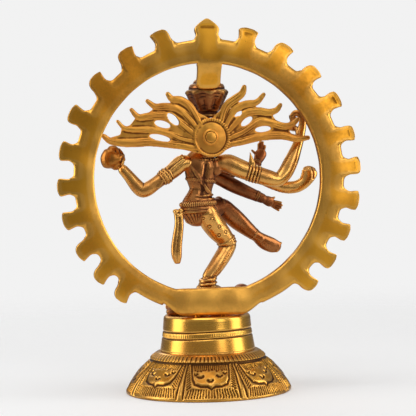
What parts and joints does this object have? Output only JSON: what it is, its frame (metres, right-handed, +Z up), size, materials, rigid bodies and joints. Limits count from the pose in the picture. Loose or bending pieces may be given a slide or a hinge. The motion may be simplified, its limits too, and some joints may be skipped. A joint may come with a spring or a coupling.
{
  "type": "nataraja statue",
  "caption": "Cast brass dancing figure with spread hair inside an upright ring of flames, trampling a dwarf on a turned drum over a spreading lotus foot.",
  "frame": {"origin": "centre of the pedestal's foot, on the surface the statue stands on", "axes": "+Z up, the figure faces -Y, its own left hand is towards +X"},
  "size_m": [0.1658, 0.0914, 0.203],
  "materials": {
    "brass_polished": "turned and polished cast brass, dark patina left in the engraved lines",
    "brass_satin": "filed and brushed cast brass, satin honey gold with a faint olive patina",
    "brass_aged": "as-cast brass, rubbed bright on the high parts and red-brown in the recesses",
    "steel_fixings": "plain zinc-plated steel, dull"
  },
  "bodies": {
    "root": {"lotus_skirt": "brass_polished", "pedestal_drum": "brass_polished", "base_bolt": "steel_fixings", "base_washer": "steel_fixings", "dwarf": "brass_aged", "flame_ring": "brass_satin", "ring_rivets": "brass_satin", "torso": "brass_aged", "head": "brass_aged", "crown": "brass_aged", "hair_fan": "brass_aged", "hair_rivet": "brass_aged", "standing_leg": "brass_aged", "raised_leg": "brass_aged", "flame_arm": "brass_aged", "drum_arm": "brass_aged", "sweeping_arm": "brass_aged", "blessing_arm": "brass_aged", "cobra": "brass_aged", "fire_pot": "brass_aged", "hand_drum": "brass_aged", "hanging_sash": "brass_aged"}
  },
  "joints": []
}
